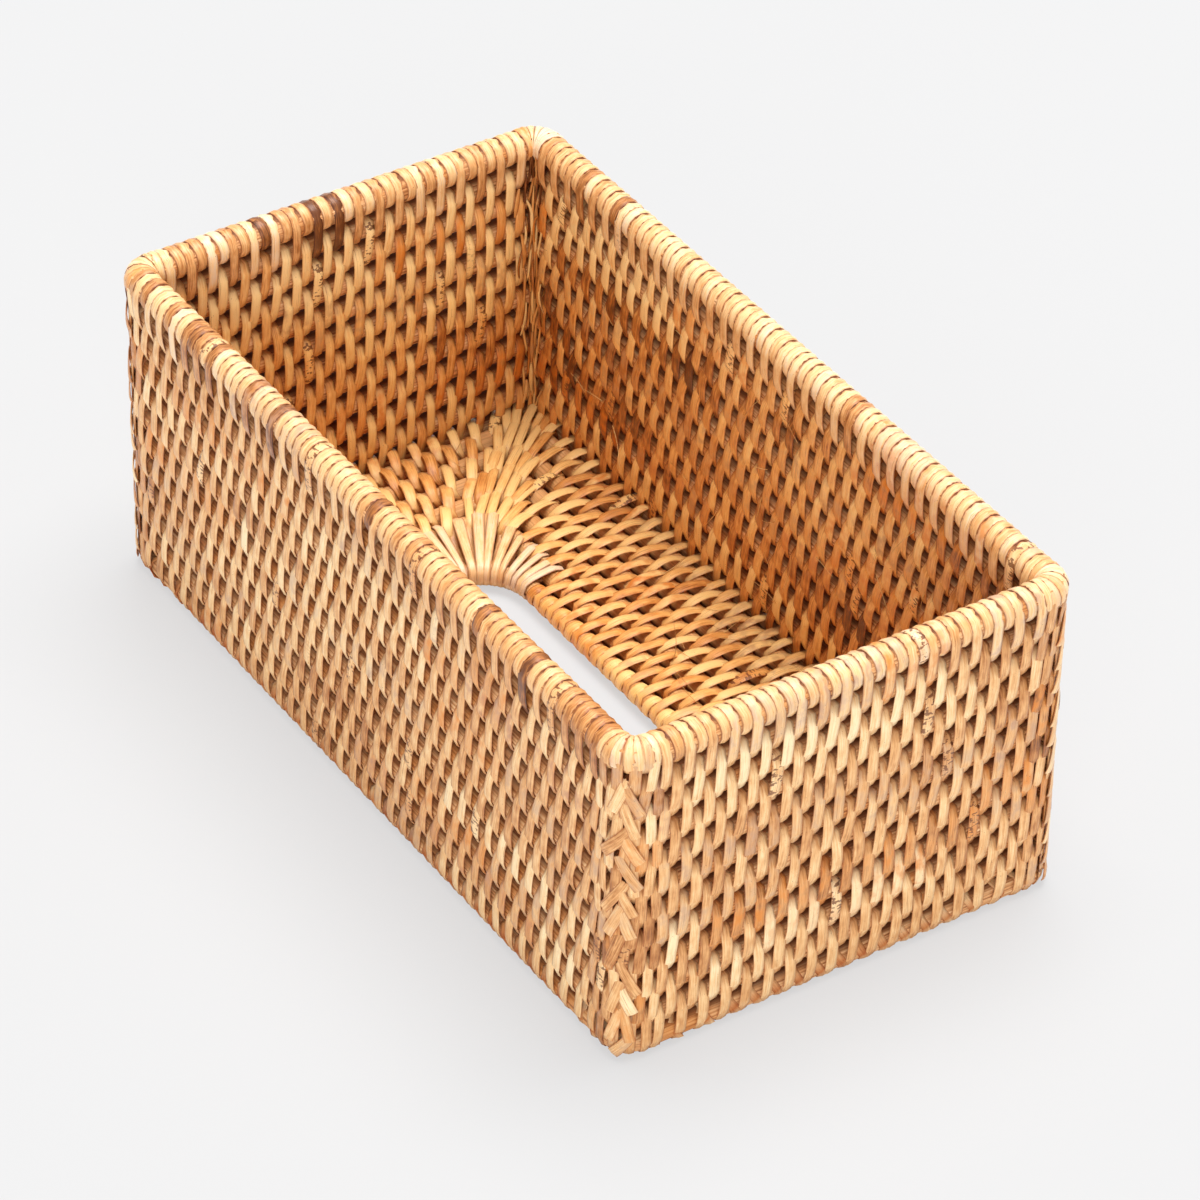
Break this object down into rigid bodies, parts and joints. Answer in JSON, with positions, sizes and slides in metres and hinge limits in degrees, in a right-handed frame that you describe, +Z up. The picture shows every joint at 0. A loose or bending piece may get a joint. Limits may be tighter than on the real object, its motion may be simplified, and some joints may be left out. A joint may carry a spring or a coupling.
{
  "type": "tissue box cover",
  "caption": "Rectangular woven rattan cover for a tissue box, open on one side and with a long round-ended slot in the panel opposite, of coiled canes bound with flat peel.",
  "frame": {"origin": "middle of the footprint, on the surface that the cover stands on as pictured", "axes": "+X along the length, +Y along the width, +Z up towards the open mouth. The slotted panel lies at the bottom, as in the picture; in use the cover is turned over, so that the panel is on top and the rim stands on the table"},
  "size_m": [0.254, 0.1386, 0.1004],
  "materials": {
    "cane": "round rattan core, matt, mostly covered",
    "wall_peel": "honey brown rattan peel, satin",
    "panel_peel": "golden brown rattan peel, satin",
    "rim_peel": "cream to honey rattan peel, satin"
  },
  "bodies": {
    "root": {"base_cane": "cane", "rim_cane": "cane", "wall_cane_1": "cane", "wall_cane_2": "cane", "wall_cane_3": "cane", "wall_cane_4": "cane", "wall_cane_5": "cane", "wall_cane_6": "cane", "wall_cane_7": "cane", "wall_cane_8": "cane", "wall_cane_9": "cane", "wall_cane_10": "cane", "panel_cane_1": "cane", "panel_cane_2": "cane", "panel_cane_3": "cane", "panel_cane_4": "cane", "panel_cane_5": "cane", "slot_cane": "cane", "wall_stitches_1": "wall_peel", "wall_stitches_2": "wall_peel", "wall_stitches_3": "wall_peel", "wall_stitches_4": "wall_peel", "wall_stitches_5": "wall_peel", "wall_stitches_6": "wall_peel", "wall_stitches_7": "wall_peel", "wall_stitches_8": "wall_peel", "wall_stitches_9": "wall_peel", "wall_stitches_10": "wall_peel", "corner_lashing_back_right": "wall_peel", "corner_lashing_back_left": "wall_peel", "corner_lashing_front_left": "wall_peel", "corner_lashing_front_right": "wall_peel", "panel_stitches_1": "panel_peel", "panel_stitches_2": "panel_peel", "panel_stitches_3": "panel_peel", "panel_stitches_4": "panel_peel", "panel_stitches_5": "panel_peel", "slot_stitches": "panel_peel", "slot_wraps": "panel_peel", "slot_end_stitches": "panel_peel", "mitre_stitches": "panel_peel", "rim_stitches": "rim_peel", "rim_wraps": "rim_peel"}
  },
  "joints": []
}
